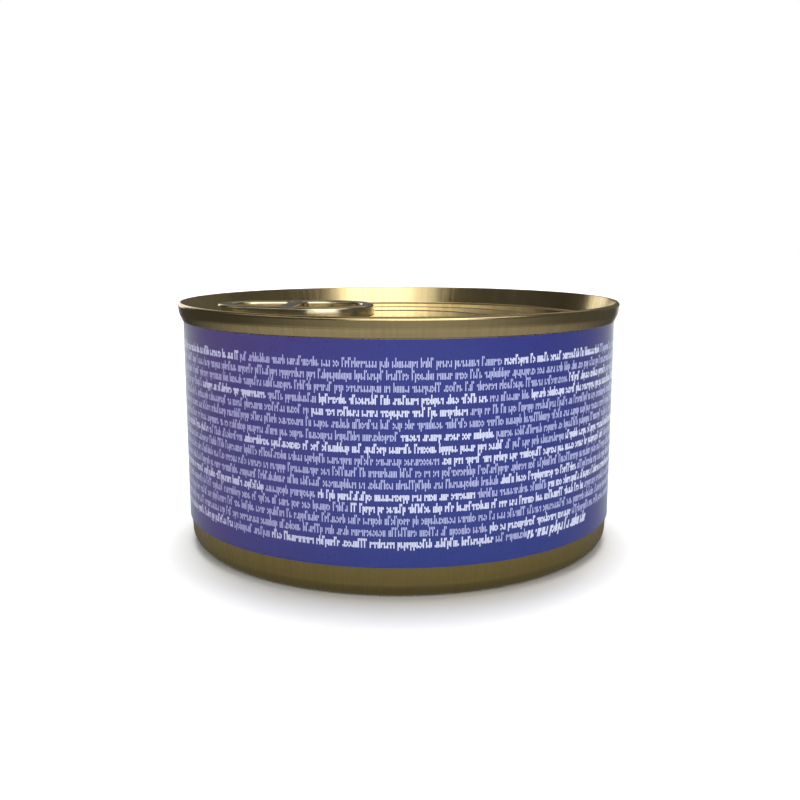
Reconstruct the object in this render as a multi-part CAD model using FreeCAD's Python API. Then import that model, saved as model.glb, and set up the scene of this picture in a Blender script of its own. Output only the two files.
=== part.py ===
import FreeCAD, Part

import math
import os

# A sealed easy-open can of pet food, in millimetres.
#
# The drawn body and what it holds are one solid, because a shut can can't be seen into. The
# easy-open end closes it: a double seam round the edge, a chuck wall down to a flat panel with
# rolled beads and a score line, and a rivet that holds the ring pull. A paper label wraps the body.
#
# Origin: the middle of the base, on the surface that the can stands on. +Z is up.
# The text side of the label faces -Y, and its glued lap is at the back.

flat_tolerance = 1e-4  # how far an edge may stray and still count as flat or full height
bead_side_share = 0.4  # of a rolled bead's width, for each of its sloping sides

# ---- Overall sizes ----
can_height = 37.15  # floor to the top of the double seam
body_radius = 33.31  # bare metal wall

# ---- Base of the drawn body ----
wall_turn_height = 5.5  # where the straight wall starts to turn in
base_turn_inset = 0.27  # how far it has turned in at the corner
base_turn_height = 2.3  # height of that corner
base_corner_round = 2.2
stand_inset = 2.66  # wall to the outer edge of the stand ring
stand_width = 0.7
stand_round = 0.3
base_recess = 2.2  # how far the base panel is lifted off the floor
base_wall_slope = 0.8  # how far the recess wall leans in
base_bead_inset = 6.0  # recess wall to the first base bead
base_bead_pitch = 7.5
base_bead_count = 3
base_bead_width = 1.6
base_bead_drop = 0.35
base_bead_round = 0.3

# ---- Double seam ----
seam_height = 2.75
seam_overhang = 0.9  # how far the seam stands out from the bare wall
seam_tuck = 0.71  # how far its lower edge tucks back in
seam_belly_drop = 1.65  # top of the seam down to its belly
seam_belly_inset = 0.22
seam_width = 0.65  # across the top
seam_outer_round = 0.46
seam_inner_round = 0.16
seam_belly_round = 2.0
seam_lower_round = 0.2

# ---- Easy-open end ----
lid_depth = 3.05  # top of the seam down to the panel
sheet = 0.22  # thickness of the end's metal
chuck_wall_lean = 0.8  # how far the wall moves inwards on its way down
chuck_wall_round = 0.35
panel_bead_inset = 9.3  # foot of the chuck wall to the outer bead
panel_bead_pitch = 8.3
panel_bead_count = 2
panel_bead_width = 1.5
panel_bead_rise = 0.09
panel_bead_round = 0.8
score_inset = 1.6  # foot of the chuck wall to the score line
score_width = 0.3
score_depth = 0.1

# ---- Ring pull ----
pull_thickness = 1.85
pull_wall_gap = 3.16  # nose to the foot of the chuck wall
pull_turn_deg = 172.0  # which way the nose points, from +X towards +Y
nose_radius = 6.5
ring_radius = 8.7
neck_length = 10.4  # middle of the nose to the middle of the ring
rim_width = 2.0  # the curled rim, all the way round
rim_shoulder = 0.95  # height of the rim's upright outer side
rim_lean = 0.14  # how far that side leans in, from there to the top
rim_shoulder_round = 3.0
rim_top_round = 0.5
rim_foot_round = 0.3
rim_inner_round = 0.45
web_width = 1.8  # between the finger hole and the well
hole_corner_round = 1.4
well_corner_round = 1.0
tongue_sheet = 0.4  # thickness left under the well
tongue_radius = 2.6
tongue_margin = 0.25  # tongue to the web
lance_width = 0.6  # the slot round the tongue
lance_half_angle_deg = 112.0

# ---- Rivet, drawn up from the panel ----
rivet_from_nose = 8.2  # nose to the middle of the rivet
rivet_seat_radius = 2.6
rivet_seat_rise = 0.3
rivet_seat_round = 0.15
rivet_shank_radius = 1.55
rivet_clearance = 0.05
rivet_head_radius = 2.2
rivet_head_height = 0.55
rivet_head_round = 0.35
rivet_dimple_radius = 1.1
rivet_dimple_depth = 0.25

# ---- Label ----
label_paper = 0.1
label_bottom = 4.5
label_seam_gap = 0.08  # top of the label to the seam
lap_width = 9.0  # the glued overlap
lap_middle_deg = 62.0  # its middle, from +X towards +Y

# ---- Sizes that follow ----
seam_bottom = can_height - seam_height
seam_outer = body_radius + seam_overhang
seam_inner = seam_outer - seam_width
panel_top = can_height - lid_depth
panel_bottom = panel_top - sheet
wall_foot = seam_inner - chuck_wall_lean
core_radius = wall_foot + sheet

pull_nose = wall_foot - pull_wall_gap
nose_middle = pull_nose - nose_radius
ring_middle = nose_middle - neck_length
pull_end = ring_middle - ring_radius
pull_bottom = panel_top + rivet_seat_rise
pull_shoulder = pull_bottom + rim_shoulder
pull_top = pull_bottom + pull_thickness
rivet_middle = pull_nose - rivet_from_nose
web_far = rivet_middle - tongue_radius - tongue_margin
web_near = web_far - web_width
tongue_top = pull_bottom + tongue_sheet

stand_outer = body_radius - stand_inset
stand_inner = stand_outer - stand_width
recess_edge = stand_inner - base_wall_slope

label_top = seam_bottom - label_seam_gap

UP = FreeCAD.Vector(0, 0, 1)
ORIGIN = FreeCAD.Vector(0, 0, 0)


def rounded_wire(corners):
    """Closed wire in the XZ plane through (x, z, round) corners, each rounded by its own radius."""
    points = [FreeCAD.Vector(x, 0, z) for x, z, _ in corners]
    count = len(points)
    starts = []
    arcs = []
    for index, (_, _, radius) in enumerate(corners):
        here = points[index]
        to_last = (points[index - 1] - here).normalize()
        to_next = (points[(index + 1) % count] - here).normalize()
        if radius == 0:
            starts.append((here, here))
            arcs.append(None)
            continue
        half = to_last.getAngle(to_next) / 2
        reach = radius / math.tan(half)
        first = here + to_last * reach
        last = here + to_next * reach
        inward = (to_last + to_next).normalize()
        middle = here + inward * (radius / math.sin(half) - radius)
        starts.append((first, last))
        arcs.append(Part.Arc(first, middle, last).toShape())
    edges = []
    for index in range(count):
        if arcs[index]:
            edges.append(arcs[index])
        leave = starts[index][1]
        arrive = starts[(index + 1) % count][0]
        if leave.distanceToPoint(arrive) > flat_tolerance:
            edges.append(Part.makeLine(leave, arrive))
    return Part.Wire(edges)


def turned(corners):
    """Solid of revolution about the can's axis."""
    return Part.Face(rounded_wire(corners)).revolve(ORIGIN, UP, 360)


def bead(radius, width, level, rise, corner_round):
    """Corners of one rolled bead, from its inner foot to its outer foot."""
    slope = width * bead_side_share
    return [
        (radius - width / 2, level, corner_round),
        (radius - width / 2 + slope, level + rise, corner_round),
        (radius + width / 2 - slope, level + rise, corner_round),
        (radius + width / 2, level, corner_round),
    ]


def disc(x, radius, low, high):
    """Upright cylinder on the ring pull's centre line."""
    return Part.makeCylinder(radius, high - low, FreeCAD.Vector(x, 0, low))


def level_edges(solid, level):
    """Edges that lie flat at one height."""
    return [
        edge for edge in solid.Edges
        if abs(edge.BoundBox.ZMin - level) < flat_tolerance
        and abs(edge.BoundBox.ZMax - level) < flat_tolerance
    ]


def upright_edges(solid):
    """Straight edges that run from the bottom to the top."""
    box = solid.BoundBox
    return [edge for edge in solid.Edges if edge.BoundBox.ZLength > box.ZLength - flat_tolerance]


def turn_into_place(shape):
    """From the ring pull's own centre line to where it points on the can."""
    shape.rotate(ORIGIN, UP, pull_turn_deg)
    return shape


def can_body():
    """Drawn body with its contents: turned-in base, stand ring and recessed, beaded base panel."""
    corners = [(0, base_recess, 0)]
    for number in reversed(range(base_bead_count)):
        radius = recess_edge - base_bead_inset - number * base_bead_pitch
        corners += bead(radius, base_bead_width, base_recess, -base_bead_drop, base_bead_round)
    corners += [
        (recess_edge, base_recess, stand_round),
        (stand_inner, 0, stand_round),
        (stand_outer, 0, 0),
        (body_radius - base_turn_inset, 0, base_corner_round),
        (body_radius - base_turn_inset, base_turn_height, 0),
        (body_radius, wall_turn_height, 0),
        (body_radius, seam_bottom, 0),
        (core_radius, seam_bottom, 0),
        (core_radius, panel_bottom, 0),
        (0, panel_bottom, 0),
    ]
    return turned(corners)


def rivet():
    """Seat, shank and dimpled head, in one piece with the end's panel."""
    seat = disc(rivet_middle, rivet_seat_radius, panel_bottom, pull_bottom)
    seat = seat.makeFillet(rivet_seat_round, level_edges(seat, pull_bottom))
    shank = disc(rivet_middle, rivet_shank_radius, panel_bottom, tongue_top)
    head_top = tongue_top + rivet_head_height
    head = disc(rivet_middle, rivet_head_radius, tongue_top, head_top)
    head = head.makeFillet(rivet_head_round, level_edges(head, head_top))
    dimple_floor = head_top - rivet_dimple_depth
    dimple = Part.makeCone(
        rivet_dimple_radius - rivet_dimple_depth, rivet_dimple_radius, rivet_dimple_depth,
        FreeCAD.Vector(rivet_middle, 0, dimple_floor))
    return turn_into_place(seat.fuse([shank, head]).cut(dimple))


def can_end():
    """Easy-open end: double seam, chuck wall, beaded panel with its score line, and the rivet."""
    score_radius = wall_foot - score_inset
    corners = [(0, panel_top, 0)]
    for number in reversed(range(panel_bead_count)):
        radius = wall_foot - panel_bead_inset - number * panel_bead_pitch
        corners += bead(radius, panel_bead_width, panel_top, panel_bead_rise, panel_bead_round)
    corners += [
        (score_radius - score_width / 2, panel_top, 0),
        (score_radius, panel_top - score_depth, 0),
        (score_radius + score_width / 2, panel_top, 0),
        (wall_foot, panel_top, chuck_wall_round),
        (seam_inner, can_height, seam_inner_round),
        (seam_outer, can_height, seam_outer_round),
        (seam_outer - seam_belly_inset, can_height - seam_belly_drop, seam_belly_round),
        (seam_outer - seam_tuck, seam_bottom, seam_lower_round),
        (core_radius, seam_bottom, 0),
        (core_radius, panel_bottom, 0),
        (0, panel_bottom, 0),
    ]
    return turned(corners).fuse(rivet()).removeSplitter()


def pull_outline(inset, level):
    """Wire inside the ring pull's outline: a large and a small circle and their tangents."""
    ring = ring_radius - inset
    nose = nose_radius - inset
    lean = math.acos((ring - nose) / (nose_middle - ring_middle))
    reach = FreeCAD.Vector(math.cos(lean), math.sin(lean), 0)
    mirrored = FreeCAD.Vector(reach.x, -reach.y, 0)
    ring_at = FreeCAD.Vector(ring_middle, 0, level)
    nose_at = FreeCAD.Vector(nose_middle, 0, level)
    tip = nose_at + FreeCAD.Vector(nose, 0, 0)
    end = ring_at - FreeCAD.Vector(ring, 0, 0)
    edges = [
        Part.Arc(nose_at + mirrored * nose, tip, nose_at + reach * nose).toShape(),
        Part.makeLine(nose_at + reach * nose, ring_at + reach * ring),
        Part.Arc(ring_at + reach * ring, end, ring_at + mirrored * ring).toShape(),
        Part.makeLine(ring_at + mirrored * ring, nose_at + mirrored * nose),
    ]
    return Part.Wire(edges)


def pull_plate(inset, low, high):
    """Upright-sided plate inside the ring pull's outline."""
    return Part.Face(pull_outline(inset, low)).extrude(UP * (high - low))


def pull_blank():
    """The ring pull before it is pierced: its outer side is upright, then leans in to the top."""
    lower = pull_plate(0, pull_bottom, pull_shoulder)
    upper = Part.makeLoft([pull_outline(0, pull_shoulder), pull_outline(rim_lean, pull_top)], True, True)
    blank = lower.fuse(upper).removeSplitter()
    blank = blank.makeFillet(rim_shoulder_round, level_edges(blank, pull_shoulder))
    blank = blank.makeFillet(rim_top_round, level_edges(blank, pull_top))
    return blank.makeFillet(rim_foot_round, level_edges(blank, pull_bottom))


def slab(x_from, x_to, low, high):
    """Block across the whole ring pull between two places on its centre line."""
    corner = FreeCAD.Vector(x_from, -ring_radius, low)
    return Part.makeBox(x_to - x_from, 2 * ring_radius, high - low, corner)


def lance():
    """C-shaped slot that frees the rivet's tongue on its nose side."""
    ring = disc(rivet_middle, tongue_radius + lance_width, pull_bottom, tongue_top)
    ring = ring.cut(disc(rivet_middle, tongue_radius, pull_bottom, tongue_top))
    far = tongue_radius + lance_width
    root = math.radians(lance_half_angle_deg)
    at = FreeCAD.Vector(rivet_middle, 0, pull_bottom)
    wedge = Part.makePolygon([
        at,
        at + FreeCAD.Vector(2 * far * math.cos(root), 2 * far * math.sin(root), 0),
        at + FreeCAD.Vector(2 * far * math.cos(root), -2 * far * math.sin(root), 0),
        at,
    ])
    return ring.cut(Part.Face(wedge).extrude(UP * tongue_sheet))


def opening(x_from, x_to, corner_round, floor):
    """Cutter for an upright-sided opening inside the rim, with rounded corners."""
    cutter = pull_plate(rim_width, floor, pull_top)
    cutter = cutter.common(slab(x_from, x_to, floor, pull_top))
    return cutter.makeFillet(corner_round, upright_edges(cutter))


def ring_pull():
    """Curled rim round a finger hole, a web, and a well whose tongue the rivet holds."""
    hole = opening(pull_end, web_near, hole_corner_round, pull_bottom)
    well = opening(web_far, pull_nose, well_corner_round, tongue_top)
    pull = pull_blank().cut([hole, well])
    lips = [
        edge for edge in level_edges(pull, pull_top)
        if min(cutter.distToShape(edge)[0] for cutter in (hole, well)) < flat_tolerance
    ]
    pull = pull.makeFillet(rim_inner_round, lips)
    rivet_hole_radius = rivet_shank_radius + rivet_clearance
    rivet_hole = disc(rivet_middle, rivet_hole_radius, pull_bottom, tongue_top)
    return turn_into_place(pull.cut([lance(), rivet_hole]))


def label():
    """Paper wrapped round the body, with one end glued over the other."""
    sleeve_outer = body_radius + label_paper
    height = label_top - label_bottom
    foot = FreeCAD.Vector(0, 0, label_bottom)
    sleeve = Part.makeCylinder(sleeve_outer, height, foot)
    lap_deg = math.degrees(lap_width / sleeve_outer)
    lap = Part.makeCylinder(sleeve_outer + label_paper, height, foot, UP, lap_deg)
    lap.rotate(ORIGIN, UP, lap_middle_deg - lap_deg / 2)
    bore = Part.makeCylinder(body_radius, height, foot)
    return sleeve.fuse(lap).cut(bore)


os.makedirs("parts", exist_ok=True)
nodes = {
    "can_body": can_body(),
    "can_end": can_end(),
    "ring_pull": ring_pull(),
    "label": label(),
}
for name, shape in nodes.items():
    shape.exportStep(f"parts/{name}.step")
    box = shape.BoundBox
    print(f"{name}: {len(shape.Solids)} solid, {shape.Volume:.1f} mm3, valid {shape.isValid()}, "
          f"z {box.ZMin:.2f} to {box.ZMax:.2f}, x {box.XMin:.2f} to {box.XMax:.2f}")
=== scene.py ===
import math
import random

import bmesh
import bpy
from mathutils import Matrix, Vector


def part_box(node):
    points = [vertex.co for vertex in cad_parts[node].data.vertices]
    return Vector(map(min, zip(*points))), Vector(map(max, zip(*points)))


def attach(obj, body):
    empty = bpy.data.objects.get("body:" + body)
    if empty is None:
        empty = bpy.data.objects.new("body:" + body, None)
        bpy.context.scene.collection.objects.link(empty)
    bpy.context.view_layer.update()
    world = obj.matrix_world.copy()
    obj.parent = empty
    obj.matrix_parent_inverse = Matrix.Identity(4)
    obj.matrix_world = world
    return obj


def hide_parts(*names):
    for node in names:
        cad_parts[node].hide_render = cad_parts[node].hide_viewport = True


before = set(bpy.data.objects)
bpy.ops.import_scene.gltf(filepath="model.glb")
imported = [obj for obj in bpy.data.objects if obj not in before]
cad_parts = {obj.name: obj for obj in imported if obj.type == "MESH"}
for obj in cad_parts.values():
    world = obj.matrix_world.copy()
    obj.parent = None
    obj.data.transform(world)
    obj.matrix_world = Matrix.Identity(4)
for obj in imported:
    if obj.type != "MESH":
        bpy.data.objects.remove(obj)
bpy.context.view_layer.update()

# A sealed easy-open can of pet food. The body, the easy-open end and the paper label are turned
# again as finer, smoother meshes, the ring pull is the CAD node itself, and a print that can't be
# read lies on the label. The text side faces -Y, and angles on the label are in degrees from its
# middle, + towards +X.

MM = 0.001

# ---- Sizes read from the frame, in metres ----
label_low, label_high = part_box("label")
end_low, end_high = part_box("can_end")
_, body_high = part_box("can_body")
pull_low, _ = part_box("ring_pull")
body_radius = body_high[0]
can_top = end_high[2]
label_bottom = label_low[2]
label_top = label_high[2]
paper = 0.1 * MM
label_radius = body_radius + paper

# ---- Sizes of the turned metal, in millimetres, as in the solids ----
bead_side_share = 0.4  # of a rolled bead's width, for each of its sloping sides
body_mm = body_radius / MM
top_mm = can_top / MM
panel_bottom = end_low[2] / MM
pull_bottom = pull_low[2] / MM  # the pull lies on the rivet's seat

wall_turn_height = 5.5  # where the straight wall starts to turn in
base_turn_inset = 0.27
base_turn_height = 2.3
base_corner_round = 2.2
stand_inset = 2.66
stand_width = 0.7
stand_round = 0.3
base_recess = 2.2
base_wall_slope = 0.8
base_bead_inset = 6.0
base_bead_pitch = 7.5
base_bead_count = 3
base_bead_width = 1.6
base_bead_rise = -0.35
base_bead_round = 0.3

seam_height = 2.75
seam_overhang = 0.9
seam_tuck = 0.71
seam_belly_drop = 1.65
seam_belly_inset = 0.22
seam_width = 0.65
seam_outer_round = 0.46
seam_inner_round = 0.16
seam_belly_round = 2.0
seam_lower_round = 0.2

lid_depth = 3.05
sheet = 0.22
chuck_wall_lean = 0.8
chuck_wall_round = 0.35
panel_bead_inset = 9.3
panel_bead_pitch = 8.3
panel_bead_count = 2
panel_bead_width = 1.5
panel_bead_rise = 0.09
panel_bead_round = 0.8
score_inset = 1.6
score_width = 0.3
score_depth = 0.1

rivet_middle = (-21.19, 2.98)  # x, y
rivet_root = 0.1  # above the underside of the sheet
rivet_seat_radius = 2.6
rivet_seat_round = 0.15
rivet_shank_radius = 1.55
rivet_head_radius = 2.2
rivet_head_height = 0.55
rivet_head_round = 0.35
rivet_dimple_radius = 1.1
rivet_dimple_foot_radius = 0.85
rivet_dimple_depth = 0.25
rivet_dimple_round = 0.1
tongue_sheet = 0.4

lap_width = 9.0  # the label's glued overlap
lap_middle = 152.0  # degrees from the text side

seam_bottom = top_mm - seam_height
seam_outer = body_mm + seam_overhang
seam_inner = seam_outer - seam_width
panel_top = top_mm - lid_depth
wall_foot = seam_inner - chuck_wall_lean
core_radius = wall_foot + sheet
stand_inner = body_mm - stand_inset - stand_width
recess_edge = stand_inner - base_wall_slope
tongue_top = pull_bottom + tongue_sheet
rivet_top = tongue_top + rivet_head_height


# ---------------------------------------------------------------- making things
def rgb(red, green, blue):
    """Linear colour of an sRGB colour given from 0 to 255."""
    def linear(value):
        value /= 255
        return value / 12.92 if value <= 0.04045 else ((value + 0.055) / 1.055) ** 2.4
    return (linear(red), linear(green), linear(blue), 1.0)


def add_object(name, data):
    piece = bpy.data.objects.new(name, data)
    bpy.context.scene.collection.objects.link(piece)
    return piece


def add_mesh(name, points, faces, material):
    mesh = bpy.data.meshes.new(name)
    mesh.from_pydata(points, [], faces)
    mesh.materials.append(material)
    return add_object(name, mesh)


class Nodes:
    """Short way to write a material's or the world's node tree."""

    def __init__(self, tree):
        self.tree = tree
        self.tree.nodes.clear()

    def add(self, kind, inputs=None, **settings):
        node = self.tree.nodes.new(kind)
        for name, value in settings.items():
            setattr(node, name, value)
        for name, value in (inputs or {}).items():
            self.feed(node.inputs[name], value)
        return node

    def feed(self, socket, value):
        if isinstance(value, bpy.types.NodeSocket):
            self.tree.links.new(value, socket)
        else:
            socket.default_value = value

    def place(self):
        """Position in the can's frame."""
        return self.add("ShaderNodeTexCoord").outputs["Object"]

    def split(self, vector):
        """The x, y and z of a vector."""
        return tuple(self.add("ShaderNodeSeparateXYZ", {0: vector}).outputs)

    def join(self, x, y, z):
        return self.add("ShaderNodeCombineXYZ", {0: x, 1: y, 2: z}).outputs[0]

    def length(self, vector):
        return self.add("ShaderNodeVectorMath", {0: vector}, operation="LENGTH").outputs["Value"]

    def vector(self, operation, first, second=None):
        node = self.add("ShaderNodeVectorMath", {0: first}, operation=operation)
        if second is not None:
            key = "Scale" if operation == "SCALE" else 1
            self.feed(node.inputs[key], second)
        return node.outputs[0]

    def math(self, operation, first, second, clamp=False):
        inputs = {0: first, 1: second}
        return self.add("ShaderNodeMath", inputs, operation=operation, use_clamp=clamp).outputs[0]

    def between(self, share, low, high):
        """Number that goes from low to high as the share goes from 0 to 1."""
        left = self.math("MULTIPLY", low, self.math("SUBTRACT", 1.0, share))
        return self.math("ADD", left, self.math("MULTIPLY", high, share))

    def range(self, value, low, high, to_low=0.0, to_high=1.0, smooth=False):
        inputs = {"Value": value, "From Min": low, "From Max": high,
                  "To Min": to_low, "To Max": to_high}
        style = "SMOOTHSTEP" if smooth else "LINEAR"
        return self.add("ShaderNodeMapRange", inputs, interpolation_type=style).outputs[0]

    def spread(self, noise, to_low=0.0, to_high=1.0):
        """The range of a noise, whose values lie mostly between 0.3 and 0.7."""
        return self.range(noise, 0.3, 0.7, to_low, to_high)

    def mix(self, factor, first, second, blend="MIX"):
        inputs = {0: factor, 6: first, 7: second}
        node = self.add("ShaderNodeMix", inputs, data_type="RGBA", blend_type=blend)
        return node.outputs[2]

    def noise(self, vector, scale, detail, roughness):
        inputs = {"Vector": vector, "Scale": scale, "Detail": detail, "Roughness": roughness}
        return self.add("ShaderNodeTexNoise", inputs).outputs[0]

    def ramp(self, value, stops):
        node = self.add("ShaderNodeValToRGB", {0: value})
        for element, (at, colour) in zip(node.color_ramp.elements, stops):
            element.position = at
            element.color = colour
        return node.outputs[0]

    def bump(self, height, strength, distance=0.02 * MM):
        inputs = {"Strength": strength, "Distance": distance, "Height": height}
        return self.add("ShaderNodeBump", inputs)

    def surface(self, shader, output="ShaderNodeOutputMaterial"):
        self.add(output, {"Surface": shader.outputs[0]})

    def principled(self, inputs):
        self.surface(self.add("ShaderNodeBsdfPrincipled", inputs))

    def glow(self, colour, strength):
        self.surface(self.add("ShaderNodeEmission", {"Color": colour, "Strength": strength}))


def new_material(name):
    material = bpy.data.materials.new(name)
    material.use_nodes = True
    return material, Nodes(material.node_tree)


def dress(node_name, material):
    """Give a carried-over CAD node its material."""
    piece = bpy.data.objects[node_name]
    piece.data.materials.clear()
    piece.data.materials.append(material)


# ---------------------------------------------------------------- metal
PANEL_RADIUS = 32.6 * MM  # inside the foot of the chuck wall
PANEL_BLEND = 0.3 * MM
# Rings of the lid's panel that fall towards the middle: inner and outer radius in mm, and the
# slope in degrees. Only the bump shows it.
PANEL_SLOPES = ((15.2, 23.5, 1.4), (23.5, 32.7, 2.9))

STREAK_CIRCLE = 46.0  # radius of the circle through the noise that one turn round the can takes
STREAK_RISE = 90.0  # noise cells in a metre of height
GRAIN_ACROSS = 2300.0  # noise cells in a metre, across the rolled grain and along it
GRAIN_ALONG = 60.0


def wall_streaks(nodes, x, y, z):
    """Streaks up a drawn wall: they change quickly round the can and slowly up it, with no seam."""
    outwards = nodes.vector("NORMALIZE", nodes.join(x, y, 0.0))
    around_can = nodes.vector("SCALE", outwards, STREAK_CIRCLE)
    up = nodes.join(0.0, 0.0, nodes.math("MULTIPLY", z, STREAK_RISE))
    return nodes.noise(nodes.vector("ADD", around_can, up), 1.0, 3.0, 0.65)


def rolled_grain(nodes, x, y):
    """Grain of the rolled sheet, straight over the lid's panel."""
    across = nodes.math("MULTIPLY", x, GRAIN_ACROSS)
    along = nodes.math("MULTIPLY", y, GRAIN_ALONG)
    return nodes.noise(nodes.join(across, along, 0.0), 1.0, 3.0, 0.65)


def lacquer(nodes, place, streak, colour, level, normal=None):
    """Lacquered metal at a level of roughness that follows its grain and some larger patches."""
    patches = nodes.spread(nodes.noise(place, 160.0, 2.0, 0.5), -0.1, 0.1)
    uneven = nodes.math("ADD", nodes.spread(streak, 0.8, 1.25), patches)
    bump = nodes.bump(streak, 0.08)
    if normal:
        nodes.feed(bump.inputs["Normal"], normal)
    nodes.principled({
        "Base Color": colour, "Metallic": 1.0, "Roughness": nodes.math("MULTIPLY", level, uneven),
        "Normal": bump.outputs[0],
    })


def body_material():
    """Gold lacquer of the drawn body."""
    material, nodes = new_material("body_lacquer")
    place = nodes.place()
    streak = wall_streaks(nodes, *nodes.split(place))
    colour = nodes.mix(nodes.spread(streak), rgb(203, 182, 117), rgb(190, 167, 102))
    lacquer(nodes, place, streak, colour, 0.3)
    return material


def end_material():
    """Gold lacquer of the easy-open end, with a smoother panel painted paler: a painted reflection
    standing in for the whiter look of the flat panel at a grazing angle.
    """
    material, nodes = new_material("end_lacquer")
    place = nodes.place()
    x, y, z = nodes.split(place)
    radius = nodes.length(nodes.join(x, y, 0.0))
    on_wall = nodes.range(radius, PANEL_RADIUS - PANEL_BLEND, PANEL_RADIUS)
    streak = nodes.between(on_wall, rolled_grain(nodes, x, y), wall_streaks(nodes, x, y, z))
    colour = nodes.mix(nodes.spread(streak), rgb(230, 208, 154), rgb(220, 197, 142))
    # The panel's paler colour is painted reflection, standing in for its whiter grazing reflection.
    colour = nodes.mix(on_wall, rgb(234, 216, 172), colour)
    level = nodes.range(on_wall, 0.0, 1.0, 0.1, 0.2)
    inner_rise, outer_rise = (
        nodes.range(radius, low * MM, high * MM,
                    0.0, (high - low) * MM * math.tan(math.radians(slope)))
        for low, high, slope in PANEL_SLOPES)
    dish = nodes.bump(nodes.math("ADD", inner_rise, outer_rise), 1.0, 1.0)
    lacquer(nodes, place, streak, colour, level, dish.outputs[0])
    return material


def pull_material():
    """Paler, smoother lacquer of the ring pull, with fine press marks."""
    material, nodes = new_material("pull_metal")
    marks = nodes.noise(nodes.place(), 900.0, 3.0, 0.6)
    nodes.principled({
        "Base Color": nodes.mix(marks, rgb(228, 211, 168), rgb(238, 224, 186)), "Metallic": 1.0,
        "Roughness": nodes.spread(marks, 0.17, 0.23), "Normal": nodes.bump(marks, 0.05).outputs[0],
    })
    return material


# ---------------------------------------------------------------- paper and ink
def violet_side(nodes, side):
    """Share of violet in the print, strongest at the left end (side -1) of the text side."""
    return nodes.range(side, -1.0, 0.1, 1.0, 0.0, smooth=True)


def varnish(nodes, z, inputs):
    """Varnished print whose pale sheen, seen at its grazing edges, is tinted darker towards the
    floor: painted shade on the sheen.
    """
    high = nodes.range(z, label_bottom, label_top)
    nodes.principled({
        "Specular IOR Level": 0.4, "Coat Weight": 0.3, "Coat Roughness": 0.1,
        "Sheen Weight": 1.0, "Sheen Roughness": 0.3,
        # The sheen tint darkens from the top of the label to its foot: painted shade.
        "Sheen Tint": nodes.mix(high, rgb(135, 145, 152), rgb(215, 223, 222)), **inputs,
    })


def label_material():
    """Coated paper with a violet-to-blue print that shifts round the can and down it."""
    material, nodes = new_material("label_print")
    place = nodes.place()
    x, _, z = nodes.split(place)
    side = nodes.math("DIVIDE", x, label_radius)
    right = nodes.range(side, 0.55, 1.0, 0.0, 0.5, smooth=True)
    high = nodes.range(z, label_bottom, label_top)
    blue = nodes.mix(high, rgb(40, 55, 132), rgb(43, 50, 127))
    plum = nodes.mix(high, rgb(64, 52, 118), rgb(75, 58, 113))
    amount = nodes.math("ADD", violet_side(nodes, side), right, clamp=True)
    fibre = nodes.noise(place, 2600.0, 4.0, 0.6)
    grey = nodes.ramp(fibre, [(0.35, (0, 0, 0, 1)), (0.65, (1, 1, 1, 1))])
    varnish(nodes, z, {
        "Base Color": nodes.mix(0.06, nodes.mix(amount, blue, plum), grey, "OVERLAY"),
        "Roughness": nodes.spread(fibre, 0.27, 0.36), "Normal": nodes.bump(fibre, 0.05).outputs[0],
    })
    return material


def ink_material(name, colour, dusk):
    """Ink with the slight mottle of a litho print; dusk is its shade on the violet side."""
    material, nodes = new_material(name)
    place = nodes.place()
    x, _, z = nodes.split(place)
    side = nodes.math("DIVIDE", x, label_radius)
    shade = nodes.mix(violet_side(nodes, side), colour, dusk)
    mottle = nodes.spread(nodes.noise(place, 1800.0, 3.0, 0.6), 0.0, 0.12)
    varnish(nodes, z, {
        "Base Color": nodes.mix(mottle, shade, rgb(120, 122, 180)), "Roughness": 0.35,
    })
    return material


body_lacquer = body_material()
end_lacquer = end_material()
dress("ring_pull", pull_material())
paper_print = label_material()
dress("can_body", body_lacquer)
dress("can_end", end_lacquer)
dress("label", paper_print)


# ---------------------------------------------------------------- patches on the label
INK_ROOT = -0.05 * MM  # inside the paper
UNDER_PRINT = 0.012 * MM
OVER_PRINT = 0.024 * MM
DEGREES_PER_MM = math.degrees(MM / label_radius)


def on_label(angle, height, lift):
    """Point on the label at an angle and a height, lifted off the paper."""
    turn = math.radians(angle)
    radius = label_radius + lift
    return (radius * math.sin(turn), -radius * math.cos(turn), height)


def strip(points, faces, lower, upper, lift):
    """Add a closed patch between two edges, each a list of (angle, height) from left to right."""
    start = len(points)
    for below, above in zip(lower, upper):
        for level in (INK_ROOT, lift):
            points.append(on_label(*below, level))
            points.append(on_label(*above, level))
    for column in range(len(lower) - 1):
        here = start + 4 * column
        low_in, high_in, low_out, high_out = range(here, here + 4)
        sides = ((low_out, high_out), (high_out, high_in), (high_in, low_in), (low_in, low_out))
        for first, second in sides:
            faces.append((first, first + 4, second + 4, second))
    last = start + 4 * (len(lower) - 1)
    faces.append((start, start + 2, start + 3, start + 1))
    faces.append((last, last + 1, last + 3, last + 2))


# ---------------------------------------------------------------- turned forms
LATHE_STEPS = 288
RIVET_STEPS = 64
LAP_STEPS = 16
ARC_STEP = math.radians(9)
SHARP = math.radians(32)
GUARD = 0.04  # mm, from a corner to its guard
ON_AXIS = 1e-6  # mm


def rounded(corners):
    """Closed outline of (radius, height, round) corners in mm, each rounded by its own radius."""
    outline = []
    for index, (x, z, radius) in enumerate(corners):
        here = Vector((x, z))
        if not radius:
            outline.append(here)
            continue
        to_last = (Vector(corners[index - 1][:2]) - here).normalized()
        to_next = (Vector(corners[(index + 1) % len(corners)][:2]) - here).normalized()
        half = to_last.angle(to_next) / 2
        middle = here + (to_last + to_next).normalized() * (radius / math.sin(half))
        first = here + to_last * (radius / math.tan(half)) - middle
        last = here + to_next * (radius / math.tan(half)) - middle
        sweep = first.angle_signed(last)
        steps = max(2, math.ceil(abs(sweep) / ARC_STEP))
        for step in range(steps + 1):
            turn = -sweep * step / steps
            across = Vector((first.x * math.cos(turn) - first.y * math.sin(turn),
                             first.x * math.sin(turn) + first.y * math.cos(turn)))
            outline.append(middle + across)
    return outline


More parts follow.
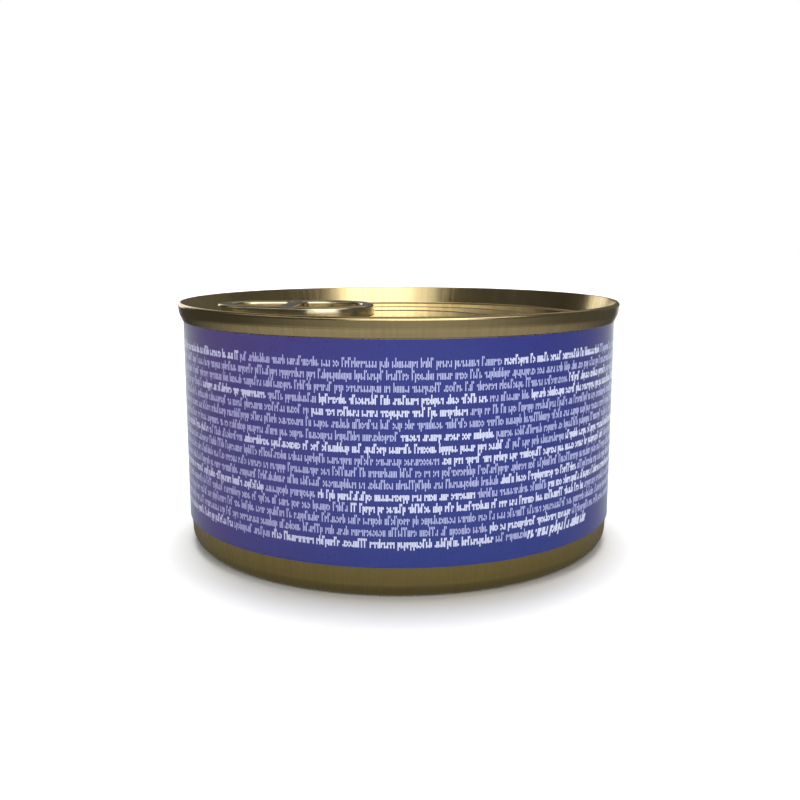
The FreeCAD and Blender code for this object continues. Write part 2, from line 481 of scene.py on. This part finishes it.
def with_guards(outline):
    """The outline with a point close to each end of its longer straights, which shade flat then."""
    guarded = []
    for index, here in enumerate(outline):
        there = outline[(index + 1) % len(outline)]
        guarded.append(here)
        length = (there - here).length
        if length > 3 * GUARD:
            guarded.append(here.lerp(there, GUARD / length))
            guarded.append(there.lerp(here, GUARD / length))
    return guarded


def lathe(points, faces, corners, steps=LATHE_STEPS, middle=(0.0, 0.0)):
    """Add a turned solid round an upright axis; its outline may start and end on the axis."""
    rings = []
    for x, z in with_guards(rounded(corners)):
        start = len(points)
        if x < ON_AXIS:
            rings.append([start])
            points.append((middle[0] * MM, middle[1] * MM, z * MM))
            continue
        rings.append(list(range(start, start + steps)))
        for step in range(steps):
            turn = 2 * math.pi * step / steps
            points.append((middle[0] * MM + x * MM * math.cos(turn),
                           middle[1] * MM + x * MM * math.sin(turn), z * MM))
    for index, ring in enumerate(rings):
        below = rings[(index + 1) % len(rings)]
        if len(ring) == 1 and len(below) == 1:
            continue
        for step in range(steps):
            after = (step + 1) % steps
            square = (ring[step % len(ring)], below[step % len(below)],
                      below[after % len(below)], ring[after % len(ring)])
            faces.append(tuple(dict.fromkeys(square)))  # a point on the axis counts once


def beads(outermost, pitch, count, width, level, rise, corner_round):
    """Corners of evenly spaced rolled beads, from the innermost to the outermost."""
    slope = bead_side_share * width
    corners = []
    for number in reversed(range(count)):
        radius = outermost - number * pitch
        corners += [
            (radius - width / 2, level, corner_round),
            (radius - width / 2 + slope, level + rise, corner_round),
            (radius + width / 2 - slope, level + rise, corner_round),
            (radius + width / 2, level, corner_round),
        ]
    return corners


def build_body(points, faces):
    """Base panel, stand ring and wall, closed under the end's sheet."""
    lathe(points, faces, [
        (0, base_recess, 0),
        *beads(recess_edge - base_bead_inset, base_bead_pitch, base_bead_count, base_bead_width,
               base_recess, base_bead_rise, base_bead_round),
        (recess_edge, base_recess, stand_round),
        (stand_inner, 0, stand_round),
        (stand_inner + stand_width, 0, 0),
        (body_mm - base_turn_inset, 0, base_corner_round),
        (body_mm - base_turn_inset, base_turn_height, 0),
        (body_mm, wall_turn_height, 0),
        (body_mm, seam_bottom, 0),
        (core_radius, seam_bottom, 0),
        (core_radius, panel_bottom, 0),
        (0, panel_bottom, 0),
    ])


def build_end(points, faces):
    """Beaded panel with its score line, chuck wall and double seam, and the rivet on it."""
    score = wall_foot - score_inset
    lathe(points, faces, [
        (0, panel_top, 0),
        *beads(wall_foot - panel_bead_inset, panel_bead_pitch, panel_bead_count, panel_bead_width,
               panel_top, panel_bead_rise, panel_bead_round),
        (score - score_width / 2, panel_top, 0),
        (score, panel_top - score_depth, 0),
        (score + score_width / 2, panel_top, 0),
        (wall_foot, panel_top, chuck_wall_round),
        (seam_inner, top_mm, seam_inner_round),
        (seam_outer, top_mm, seam_outer_round),
        (seam_outer - seam_belly_inset, top_mm - seam_belly_drop, seam_belly_round),
        (seam_outer - seam_tuck, seam_bottom, seam_lower_round),
        (core_radius, seam_bottom, 0),
        (core_radius, panel_bottom, 0),
        (0, panel_bottom, 0),
    ])
    rivet_bottom = panel_bottom + rivet_root
    lathe(points, faces, [
        (0, rivet_bottom, 0),
        (rivet_seat_radius, rivet_bottom, 0),
        (rivet_seat_radius, pull_bottom, rivet_seat_round),
        (rivet_shank_radius, pull_bottom, 0),
        (rivet_shank_radius, tongue_top, 0),
        (rivet_head_radius, tongue_top, 0),
        (rivet_head_radius, rivet_top, rivet_head_round),
        (rivet_dimple_radius, rivet_top, rivet_dimple_round),
        (rivet_dimple_foot_radius, rivet_top - rivet_dimple_depth, rivet_dimple_round),
        (0, rivet_top - rivet_dimple_depth, 0),
    ], RIVET_STEPS, rivet_middle)


def build_label(points, faces):
    """Paper sleeve, and the end of the sheet glued over it."""
    sleeve = label_radius / MM
    low, high = label_bottom / MM, label_top / MM
    lathe(points, faces,
          [(body_mm, low, 0), (sleeve, low, 0), (sleeve, high, 0), (body_mm, high, 0)])
    half = lap_width / 2 * DEGREES_PER_MM
    angles = [lap_middle - half + 2 * half * step / LAP_STEPS for step in range(LAP_STEPS + 1)]
    strip(points, faces, [(angle, label_bottom) for angle in angles],
          [(angle, label_top) for angle in angles], paper)


def turned_piece(name, build, node, material):
    """Finer twin of a turned CAD node, from the same sizes."""
    points = []
    faces = []
    build(points, faces)
    piece = add_mesh(name, points, faces, material)
    work = bmesh.new()
    work.from_mesh(piece.data)
    bmesh.ops.recalc_face_normals(work, faces=work.faces)
    for edge in work.edges:
        edge.smooth = len(edge.link_faces) == 2 and edge.calc_face_angle() < SHARP
    for face in work.faces:
        face.smooth = True
    work.to_mesh(piece.data)
    work.free()
    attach(piece, "root")
    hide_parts(node)


turned_piece("body_turned", build_body, "can_body", body_lacquer)
turned_piece("end_turned", build_end, "can_end", end_lacquer)
turned_piece("label_wrapped", build_label, "label", paper_print)


# ---------------------------------------------------------------- print
class Ink:
    """One colour of print: closed patches of ink that share a mesh."""

    def __init__(self, name, material, lift):
        self.name = name
        self.material = material
        self.lift = lift
        self.points = []
        self.faces = []

    def strip(self, lower, upper):
        strip(self.points, self.faces, lower, upper, self.lift)

    def block(self, angle, width, low, high, slant=0.0):
        """Upright or slanted bar; its width is in degrees."""
        lean = slant * (high - low) / MM * DEGREES_PER_MM
        self.strip([(angle, low), (angle + width, low)],
                   [(angle + lean, high), (angle + lean + width, high)])

    def curved(self, angles, low, high):
        """Patch between two heights given as functions of the angle."""
        self.strip([(angle, low(angle)) for angle in angles],
                   [(angle, high(angle)) for angle in angles])

    def band(self, first, last, low, high):
        """Level band between two angles, with a step for every two degrees."""
        count = max(2, int((last - first) / 2))
        angles = [first + (last - first) * step / count for step in range(count + 1)]
        self.curved(angles, lambda angle: low, lambda angle: high)

    def oval(self, angle, height, half_width, half_height, steps=40):
        """Ellipse; its half width is in mm along the paper and its half height in mm."""
        reach = half_width * DEGREES_PER_MM
        angles = [angle - reach * math.cos(math.pi * step / steps) for step in range(1, steps)]

        def bulge(at):
            return half_height * MM * math.sqrt(max(0.0, 1 - ((at - angle) / reach) ** 2))
        self.curved(angles, lambda at: height - bulge(at), lambda at: height + bulge(at))

    def finish(self):
        piece = add_mesh(self.name, self.points, self.faces, self.material)
        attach(piece, "root")


# Marks that stand for small print: bars of (left, right, foot, head) in parts of a mark's width
# and height. None of them is a letter.
MARKS = (
    ((0.0, 0.32, 0.0, 1.0), (0.5, 0.82, 0.0, 1.0)),
    ((0.0, 0.32, 0.0, 1.0), (0.5, 0.82, 0.1, 0.45)),
    ((0.0, 0.32, 0.0, 1.0), (0.5, 0.82, 0.55, 0.95)),
    ((0.0, 0.32, 0.05, 0.4), (0.5, 0.82, 0.0, 1.0)),
    ((0.0, 0.32, 0.6, 0.95), (0.5, 0.82, 0.0, 1.0)),
    ((0.0, 0.32, 0.0, 0.35), (0.0, 0.32, 0.6, 1.0), (0.5, 0.82, 0.2, 0.8)),
    ((0.0, 0.32, 0.0, 1.5), (0.5, 0.82, 0.1, 0.9)),
    ((0.0, 0.32, 0.0, 1.5), (0.5, 0.82, 1.1, 1.5)),
    ((0.0, 0.32, -0.35, 1.0), (0.5, 0.82, 0.2, 0.95)),
)
MARK_WIDTH = 0.41  # mm
MARK_HEIGHT = 0.84  # mm
WORD_LENGTHS = (2, 3, 3, 4, 5, 6, 7, 8, 9, 11)  # in marks, the common ones twice
WORD_SPACE = 0.8 * MARK_WIDTH * DEGREES_PER_MM
PLAIN_WEIGHT = 0.88
BOLD_WEIGHT = 1.2

TEXT_SIDE = 97.0  # degrees to each side
ROW_END_GAP = 3  # degrees before a row's end in which no word starts
ROW_COUNT = 16
ROW_TOP = 30.75  # foot of the top row, mm
ROW_PITCH = 1.57  # mm
# Where each row is bold, in degrees from the middle.
BOLD_RUNS = {
    0: ((-86, -39), (20, 56)),
    2: ((37, 62),),
    3: ((-58, -30), (-20, 19), (32, 97)),
    4: ((-20, 14),),
    6: ((-3, 23),),
    7: ((-73, -54), (-41, 23), (38, 97)),
    8: ((6, 63),),
    10: ((20, 44),),
    11: ((-75, -33), (-20, 16), (34, 97)),
    12: ((-10, 52),),
    14: ((18, 44),),
    15: ((-97, -42), (-34, 17)),
}

# The larger slanted run that ends the block.
CLOSING_RUN = (31, 65)  # degrees
CLOSING_WORDS = (2, 4, 5, 2, 4, 3)
CLOSING_GAP = 4  # degrees before its end in which no word starts
CLOSING_SIZE = 1.35
CLOSING_WEIGHT = 1.35
CLOSING_SLANT = 0.2
CLOSING_DROP = 0.25 * MM

dice = random.Random(11)


def word(ink, angle, foot, letters, size, weight, slant=0.0):
    """Row of marks; returns the angle at its end."""
    cell = MARK_WIDTH * size * DEGREES_PER_MM
    for _ in range(letters):
        marks = MARKS[dice.randrange(len(MARKS))]
        for left, right, bottom, top in marks:
            width = (right - left) * cell * weight
            low = foot + bottom * MARK_HEIGHT * size * MM
            high = foot + top * MARK_HEIGHT * size * MM
            ink.block(angle + left * cell, width, low, high, slant)
        angle += cell
    return angle


def row_foot(row):
    return (ROW_TOP - ROW_PITCH * row) * MM


def text_block(plain, bold):
    """Rows of small print that can't be read."""
    for row in range(ROW_COUNT):
        angle = -TEXT_SIDE
        end = CLOSING_RUN[0] - 1 if row == ROW_COUNT - 1 else TEXT_SIDE - ROW_END_GAP
        while angle < end:
            heavy = any(first <= angle + 1 < last for first, last in BOLD_RUNS.get(row, ()))
            ink, weight = (bold, BOLD_WEIGHT) if heavy else (plain, PLAIN_WEIGHT)
            letters = dice.choice(WORD_LENGTHS)
            angle = word(ink, angle, row_foot(row), letters, 1.0, weight) + WORD_SPACE
    angle = CLOSING_RUN[0]
    foot = row_foot(ROW_COUNT - 1) - CLOSING_DROP
    for letters in CLOSING_WORDS:
        if angle < CLOSING_RUN[1] - CLOSING_GAP:
            angle = WORD_SPACE + word(
                bold, angle, foot, letters, CLOSING_SIZE, CLOSING_WEIGHT, CLOSING_SLANT)


def ruled_table(plain):
    """Ruled table of short words, on the far side of the text."""
    left, right = 103.0, 141.0
    low, tall = 19.0, 12.0  # mm
    rows, columns = 7, 4
    rule = 0.12  # mm
    for row in range(rows + 1):
        height = (low + tall * row / rows) * MM
        plain.band(left, right, height, height + rule * MM)
    for column in range(columns + 1):
        angle = left + (right - left) * column / columns
        plain.block(angle, rule * DEGREES_PER_MM, low * MM, (low + tall) * MM)
    for row in range(rows):
        foot = (low + tall * (row + 0.28) / rows) * MM
        for column in range(columns):
            angle = left + (right - left) * (column + 0.15) / columns
            word(plain, angle, foot, 5 if column else 8, 0.9, 1.0)


def bar_pattern(pale, deep):
    """Plain bars on a pale field, under the table."""
    pale.band(103.0, 127.0, 7.0 * MM, 16.5 * MM)
    angle = 104.5
    while angle < 125.0:
        width = dice.choice((0.3, 0.3, 0.6, 0.9))
        deep.block(angle, width, 8.0 * MM, 15.5 * MM)
        angle += width + dice.choice((0.3, 0.3, 0.6))


def round_mark(pale, deep):
    """Disc with a pale rim, beside the bars."""
    for ink, radius in ((pale, 3.6), (deep, 2.4)):
        ink.oval(134.5, 11.75 * MM, radius, radius)


def fish(ink, middle, height, length, depth):
    """Plain fish seen from the side, its nose to the left; length and depth in mm."""
    body = 0.72 * length * DEGREES_PER_MM
    tail = 0.34 * length * DEGREES_PER_MM
    nose = middle - 0.5 * length * DEGREES_PER_MM
    tail_start = nose + 0.9 * body
    body_steps = 28
    tail_steps = 14

    def body_half(angle):
        share = (angle - nose) / body
        arch = math.sin(math.pi * min(1.0, share)) ** 0.7
        return max(0.02, arch * (1 - 0.25 * share)) * depth / 2 * MM

    def tail_half(angle):
        share = (angle - tail_start) / tail
        return (0.12 + 0.75 * share ** 1.4) * depth / 2 * MM

    def notch(angle):
        share = (angle - tail_start) / tail
        return max(0.0, share - 0.55) * depth * MM * 0.6

    places = [nose + body * (0.01 + 0.97 * step / body_steps) for step in range(body_steps + 1)]
    ink.curved(places, lambda at: height - body_half(at), lambda at: height + body_half(at))
    places = [tail_start + tail * step / tail_steps for step in range(tail_steps + 1)]
    ink.curved(places, lambda at: height + notch(at), lambda at: height + tail_half(at))
    ink.curved(places, lambda at: height - tail_half(at), lambda at: height - notch(at))


def front_panel(plain, pale, deep, bright):
    """Front of the pack: a pale oval with plain fish, between ruled bands and rows of dots."""
    middle = -148.5
    reach = 46.0
    for low, high in ((32.0, 32.7), (31.1, 31.4), (6.3, 7.0), (7.6, 7.9)):
        plain.band(middle - reach, middle + reach, low * MM, high * MM)
    pale.oval(middle, 19.5 * MM, 21.0, 9.4, 72)
    fish(deep, middle - 2, 20.6 * MM, 24.0, 7.6)
    fish(bright, middle + 12, 14.2 * MM, 10.0, 3.0)
    dots = 16
    margin = 3.0
    for number in range(dots):
        angle = middle - reach + margin + number * 2 * (reach - margin) / (dots - 1)
        for height in (9.3, 29.7):
            bright.oval(angle, height * MM, 0.45, 0.45, 12)


plain_ink = ink_material("ink_plain", rgb(192, 199, 238), rgb(166, 162, 204))
bold_ink = ink_material("ink_bold", rgb(222, 228, 250), rgb(188, 184, 216))
field_ink = ink_material("ink_field", rgb(214, 216, 238), rgb(205, 203, 226))
deep_ink = ink_material("ink_deep", rgb(44, 50, 104), rgb(52, 46, 92))
print_plain = Ink("print_plain", plain_ink, UNDER_PRINT)
print_bold = Ink("print_bold", bold_ink, UNDER_PRINT)
print_field = Ink("print_field", field_ink, UNDER_PRINT)
print_deep = Ink("print_deep", deep_ink, OVER_PRINT)
text_block(print_plain, print_bold)
ruled_table(print_plain)
bar_pattern(print_field, print_deep)
round_mark(print_field, print_deep)
front_panel(print_plain, print_field, print_deep, print_bold)
for ink in (print_plain, print_bold, print_field, print_deep):
    ink.finish()


# ---------------------------------------------------------------- studio
def around(azimuth, elevation, distance):
    """Point seen from the can at an azimuth (0 = the camera's side, + to its right)."""
    flat = distance * math.cos(math.radians(elevation))
    turn = math.radians(azimuth)
    height = distance * math.sin(math.radians(elevation))
    return Vector((flat * math.sin(turn), -flat * math.cos(turn), height))


def softbox(name, azimuth, elevation, distance, width, height, level):
    """Rectangular lamp whose face is as bright as the level says, where 1 is white."""
    lamp = bpy.data.lights.new(name, "AREA")
    lamp.shape = "RECTANGLE"
    lamp.size = width
    lamp.size_y = height
    lamp.energy = level * math.pi * width * height
    piece = add_object(name, lamp)
    piece.location = around(azimuth, elevation, distance)
    to_can = Vector((0, 0, can_top / 2)) - piece.location
    piece.rotation_euler = to_can.to_track_quat("-Z", "Y").to_euler()
    return piece


def reflect_only(piece):
    """Let the reflections alone see a piece of the studio."""
    piece.visible_camera = False
    piece.visible_diffuse = False
    piece.visible_shadow = False
    piece.visible_transmission = False
    piece.visible_volume_scatter = False


def card_material(name, azimuths, tone, fade_to):
    """Even glow, or one that fades across the card to another tone."""
    material, nodes = new_material(name)
    level = tone
    if fade_to is not None:
        x, y, _ = nodes.split(nodes.place())
        azimuth = nodes.math("ARCTAN2", x, nodes.math("MULTIPLY", y, -1.0))
        level = nodes.range(azimuth, *map(math.radians, azimuths), tone, fade_to)
    nodes.glow((1, 1, 1, 1), level)
    return material


def card(name, azimuths, elevations, distance, tone, fade_to=None):
    """Curved card that only the reflections see, as a studio puts round shiny metal."""
    steps_across = 24
    steps_up = 12
    points = []
    for up in range(steps_up + 1):
        elevation = elevations[0] + (elevations[1] - elevations[0]) * up / steps_up
        for across in range(steps_across + 1):
            azimuth = azimuths[0] + (azimuths[1] - azimuths[0]) * across / steps_across
            points.append(around(azimuth, elevation, distance))
    width = steps_across + 1
    faces = [
        (row * width + column, row * width + column + 1,
         (row + 1) * width + column + 1, (row + 1) * width + column)
        for row in range(steps_up) for column in range(steps_across)
    ]
    reflect_only(add_mesh(name, points, faces, card_material(name, azimuths, tone, fade_to)))


def plane(name, size, height, material):
    half = size / 2
    points = [(-half, -half, height), (half, -half, height), (half, half, height),
              (-half, half, height)]
    piece = add_mesh(name, points, [(0, 1, 2, 3)], material)
    return piece


def floor_material():
    """Pale floor, a little below white near the can and white from half a metre on."""
    material, nodes = new_material("pale_floor")
    away = nodes.range(nodes.length(nodes.place()), 0.15, 0.5)
    colour = nodes.mix(away, (0.9, 0.9, 0.9, 1.0), (1.0, 1.0, 1.0, 1.0))
    nodes.principled({"Base Color": colour, "Roughness": 0.9, "Specular IOR Level": 0.1})
    return material


def floor_card_material():
    """The floor as the metal sees it: dim, with a painted shadow darkest at the can's foot, and
    bright straight behind it.
    """
    material, nodes = new_material("floor_card")
    x, y, _ = nodes.split(nodes.place())
    radius = nodes.length(nodes.join(x, y, 0.0))
    front = nodes.math("DIVIDE", nodes.math("MULTIPLY", y, -1.0), radius)

    # Within 7 cm and beyond 13 cm, each brighter in front, and the far part dimmer on the left.
    near = nodes.range(front, -1.0, 1.0, 0.045, 0.375)
    fade = nodes.math("POWER", nodes.math("MAXIMUM", front, 0.0), 1.8)
    far = nodes.range(fade, 0.0, 1.0, 0.075, 0.285)
    left = nodes.range(nodes.math("DIVIDE", x, radius), -0.9, 0.1, 0.6, 1.0)
    far = nodes.math("MULTIPLY", far, left)
    tone = nodes.between(nodes.range(radius, 0.07, 0.13), near, far)

    # One tone within 4.5 cm, and a painted contact shadow where the can meets the floor.
    tone = nodes.between(nodes.range(radius, 0.045, 0.065), 0.24, tone)
    painted_contact_shadow = nodes.range(radius, 0.031, 0.042, 0.45, 1.0, smooth=True)
    tone = nodes.math("MULTIPLY", tone, painted_contact_shadow)

    # A stretch straight behind the can, brighter on its right.
    bright = nodes.range(x, -0.01, 0.01, 0.45, 1.25)
    back = nodes.math("MULTIPLY", nodes.range(front, -0.8, -0.92, smooth=True),
                      nodes.range(radius, 0.04, 0.05))
    tone = nodes.between(back, tone, bright)
    nodes.glow(nodes.add("ShaderNodeCombineColor", {0: tone, 1: tone, 2: tone}).outputs[0], 1.0)
    return material


def build_world():
    """Soft ambient light, weaker overhead; the camera, the metal and glass see plain white."""
    world = bpy.data.worlds.new("studio")
    bpy.context.scene.world = world
    world.use_nodes = True
    nodes = Nodes(world.node_tree)
    rays = nodes.add("ShaderNodeLightPath").outputs
    seen = nodes.math("MAXIMUM", rays["Is Camera Ray"], nodes.math(
        "MAXIMUM", rays["Is Glossy Ray"], rays["Is Transmission Ray"]))
    up = nodes.split(nodes.add("ShaderNodeTexCoord").outputs["Generated"])[2]
    level = nodes.range(up, 0.3, 0.6, 0.65, 0.1, smooth=True)
    ambient, white = (
        nodes.add("ShaderNodeBackground", {"Color": (1, 1, 1, 1), "Strength": strength}).outputs[0]
        for strength in (level, 1.0))
    nodes.surface(nodes.add("ShaderNodeMixShader", {0: seen, 1: ambient, 2: white}),
                  "ShaderNodeOutputWorld")


def build_camera():
    """Camera in front of the text side, a little above the lid and tilted down."""
    data = bpy.data.cameras.new("camera")
    data.sensor_width = 36.0
    data.lens = 42.98
    data.clip_start = 0.001
    camera = add_object("camera", data)
    camera.location = (0.18 * MM, -151.68 * MM, 47.25 * MM)
    camera.rotation_euler = (math.radians(90 - 9.87), 0, 0)
    bpy.context.scene.camera = camera


# Cards: name, azimuths and elevations in degrees, distance in metres, tone (1 = white), and the
# tone to which it fades, if any. The flags are dark walls and a ceiling, with one bright window
# between them, and the sky bands hang over the front.
FLAGS = (
    ("flag_left", (-140, -24), (-2, 75), 0.9, 0.04),
    ("window_back", (-163, -140), (-2, 22), 0.89, 1.2),
    ("flag_right", (42, 120), (-2, 75), 0.9, 0.075),
    ("flag_back", (120, 197), (-2, 30), 0.9, 0.11),
    ("flag_back_high", (120, 197), (30, 75), 0.9, 0.3),
    ("flag_back_left", (-163, -140), (22, 75), 0.9, 0.3),
    ("flag_top", (-180, 180), (58, 90), 0.91, 0.3),
)
SKY = (
    ("sky_far_left", (-108, -79), (28.5, 55), 0.86, 0.12, 0.4),
    ("sky_left_low", (-79, -61), (30.5, 36.5), 0.86, 0.08),
    ("sky_left", (-79, -61), (36.5, 42), 0.86, 0.8),
    ("sky_left_high", (-79, -61), (42, 56), 0.86, 0.15),
    ("sky_near_left_low", (-61, -38), (33.5, 38), 0.86, 0.06),
    ("sky_near_left", (-61, -38), (38, 43), 0.86, 1.4),
    ("sky_near_left_high", (-61, -38), (43, 57), 0.86, 0.08),
    ("sky_front_left", (-38, -20), (34.5, 58), 0.86, 1.1),
    ("sky_front", (-20, 42), (34.5, 58), 0.86, 1.8),
    ("sky_right", (42, 76), (34.5, 58), 0.86, 1.4, 1.0),
)
# Lamps that light the paper and the floor but that the metal doesn't mirror: name, azimuth and
# elevation in degrees, distance, width and height in metres, and level.
HIDDEN_LAMPS = (
    ("key_box", -8, 42, 0.7, 1.1, 0.32, 1.35),
    ("edge_light", 150, 14, 0.9, 0.4, 0.3, 2.4),
    ("edge_light", -150, 14, 0.9, 0.4, 0.3, 1.2),
    ("floor_light", 180, 78, 3.0, 1.6, 1.6, 15.5),
)

build_camera()
build_world()
plane("floor", 2.4, 0.0, floor_material())
reflect_only(plane("floor_card", 6.0, 0.02 * MM, floor_card_material()))
for flag in FLAGS:
    card(*flag)
softbox("front_box", 14, 28, 0.75, 0.54, 0.36, 1.05)
for band in SKY:
    card(*band)
for lamp in HIDDEN_LAMPS:
    lamp_piece = softbox(*lamp)
    lamp_piece.visible_glossy = False

scene = bpy.context.scene
scene.view_settings.view_transform = "Standard"
